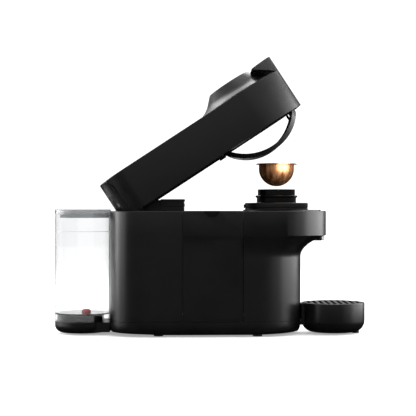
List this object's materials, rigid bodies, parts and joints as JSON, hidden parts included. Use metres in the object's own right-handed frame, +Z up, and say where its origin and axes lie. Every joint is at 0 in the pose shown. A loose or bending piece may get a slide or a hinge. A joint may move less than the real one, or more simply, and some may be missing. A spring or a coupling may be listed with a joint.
{
  "type": "pod coffee machine",
  "caption": "Upright countertop coffee machine with a tilting brew head, spinning pod holder, rear water tank, side drawer for used pods and a round cup support.",
  "frame": {"origin": "middle of the footprint on the surface that the machine stands on", "axes": "+X towards the coffee outlet and cup support, +Y towards the far side, +Z up"},
  "size_m": [0.4262, 0.136, 0.3798],
  "materials": {
    "housing_black": "fine spark-eroded satin black",
    "inner_dark": "plain moulded black",
    "gloss_black": "polished black",
    "lever_satin": "soft satin charcoal with a fine dot grain",
    "grey_plastic": "satin dark grey",
    "tank_lid_grey": "smoked translucent grey",
    "steel": "plain steel",
    "alloy": "cast and foil aluminium",
    "copper_coat": "copper coloured lacquer on drawn aluminium",
    "rubber": "moulded black rubber",
    "clear_tank": "clear moulded plastic",
    "clear_trim": "frosted clear plastic",
    "red_seal": "red silicone",
    "board_green": "coated circuit board"
  },
  "bodies": {
    "housing": {"base_pan": "housing_black", "rear_housing": "housing_black", "far_side_panel": "housing_black", "front_housing": "housing_black", "foot_rear_near": "rubber", "foot_rear_far": "rubber", "foot_front_near": "rubber", "foot_front_far": "rubber", "cord_inlet": "inner_dark", "rear_deck": "housing_black", "hinge_housing": "housing_black", "hinge_bracket_near": "inner_dark", "hinge_bracket_far": "inner_dark", "brew_deck": "housing_black", "brew_bowl": "inner_dark", "collar_base": "housing_black", "shaft_bearing": "steel", "motor": "steel", "motor_mount": "inner_dark", "spout": "housing_black", "spout_nose": "clear_trim", "pump": "steel", "pump_mount_rear": "rubber", "pump_mount_front": "rubber", "heater_block": "alloy", "heater_stand": "inner_dark", "control_board": "board_green", "pump_hose": "inner_dark", "tank_cradle": "housing_black"},
    "head": {"head_shell": "housing_black", "head_rear_cover": "housing_black", "head_crown": "housing_black", "head_floor": "housing_black", "button_light_ring": "clear_trim", "brew_bell": "inner_dark", "hoop_bracket": "housing_black", "hoop_pin": "steel", "latch_hook_near": "housing_black", "latch_hook_far": "housing_black", "hinge_rib_near": "inner_dark", "hinge_rib_far": "inner_dark"},
    "lever": {"lever": "lever_satin"},
    "start_button": {"start_button": "gloss_black"},
    "clamp": {"clamp_disc": "inner_dark", "clamp_gasket": "rubber", "needle": "steel"},
    "hoop": {"hoop": "housing_black"},
    "holder": {"pod_holder": "gloss_black", "motor_shaft": "steel"},
    "lock_ring": {"lock_ring": "housing_black"},
    "pod": {"pod_cup": "copper_coat", "pod_foil": "alloy"},
    "tank": {"tank_shell": "clear_tank"},
    "tank_lid": {"tank_lid": "tank_lid_grey"},
    "tank_valve": {"tank_valve": "red_seal"},
    "pod_bin": {"pod_bin": "housing_black"},
    "cup_support": {"cup_support": "housing_black"},
    "drip_grid": {"drip_grid": "grey_plastic"}
  },
  "joints": [
    {"name": "head_tilt", "type": "hinge", "parent": "housing", "child": "head", "pos_m": [-0.1011, 0, 0.1852], "axis": [0, -1, 0], "range_deg": [-33.15, 0]},
    {"name": "lever_lift", "type": "hinge", "parent": "head", "child": "lever", "pos_m": [0.05679, 0, 0.35784], "axis": [0, -1, 0], "range_deg": [0, 8], "stiffness_Nm_per_rad": 0.2, "springref_deg": -22.92},
    {"name": "button_press", "type": "slide", "parent": "head", "child": "start_button", "axis": [0.5468, 0, -0.8372], "range_m": [0, 0.0016], "stiffness_N_per_m": 600, "springref_m": -0.0012},
    {"name": "clamp_spin", "type": "hinge", "parent": "head", "child": "clamp", "pos_m": [0.04949, 0, 0.30721], "axis": [-0.5468, 0, 0.8372], "continuous": true},
    {"name": "hoop_swing", "type": "hinge", "parent": "head", "child": "hoop", "pos_m": [0.01723, 0, 0.24469], "axis": [0, 1, 0], "range_deg": [0, 10], "stiffness_Nm_per_rad": 0.08, "springref_deg": -28.65},
    {"name": "holder_spin", "type": "hinge", "parent": "housing", "child": "holder", "pos_m": [0.0917, 0, 0.17], "axis": [0, 0, 1], "continuous": true},
    {"name": "lock_ring_turn", "type": "hinge", "parent": "housing", "child": "lock_ring", "pos_m": [0.0917, 0, 0.172], "axis": [0, 0, 1], "range_deg": [0, 25]},
    {"name": "pod_lift", "type": "slide", "parent": "holder", "child": "pod", "axis": [0, 0, 1], "range_m": [-0.034, 0]},
    {"name": "tank_lift", "type": "slide", "parent": "housing", "child": "tank", "axis": [-0.6, 0, 0.8], "range_m": [0, 0.16]},
    {"name": "tank_lid_lift", "type": "slide", "parent": "tank", "child": "tank_lid", "axis": [-0.6, 0, 0.8], "range_m": [0, 0.04]},
    {"name": "tank_valve_lift", "type": "slide", "parent": "tank", "child": "tank_valve", "axis": [0, 0, 1], "range_m": [0, 0.002], "stiffness_N_per_m": 60},
    {"name": "bin_slide", "type": "slide", "parent": "housing", "child": "pod_bin", "axis": [0, -1, 0], "range_m": [0, 0.15]},
    {"name": "tray_slide", "type": "slide", "parent": "housing", "child": "cup_support", "axis": [1, 0, 0], "range_m": [0, 0.12]},
    {"name": "grid_lift", "type": "slide", "parent": "cup_support", "child": "drip_grid", "axis": [0, 0, 1], "range_m": [0, 0.05]}
  ],
  "couplings": [
    {"joint": "pod_lift", "follows": "head_tilt", "m_per_rad": 0.058765}
  ]
}
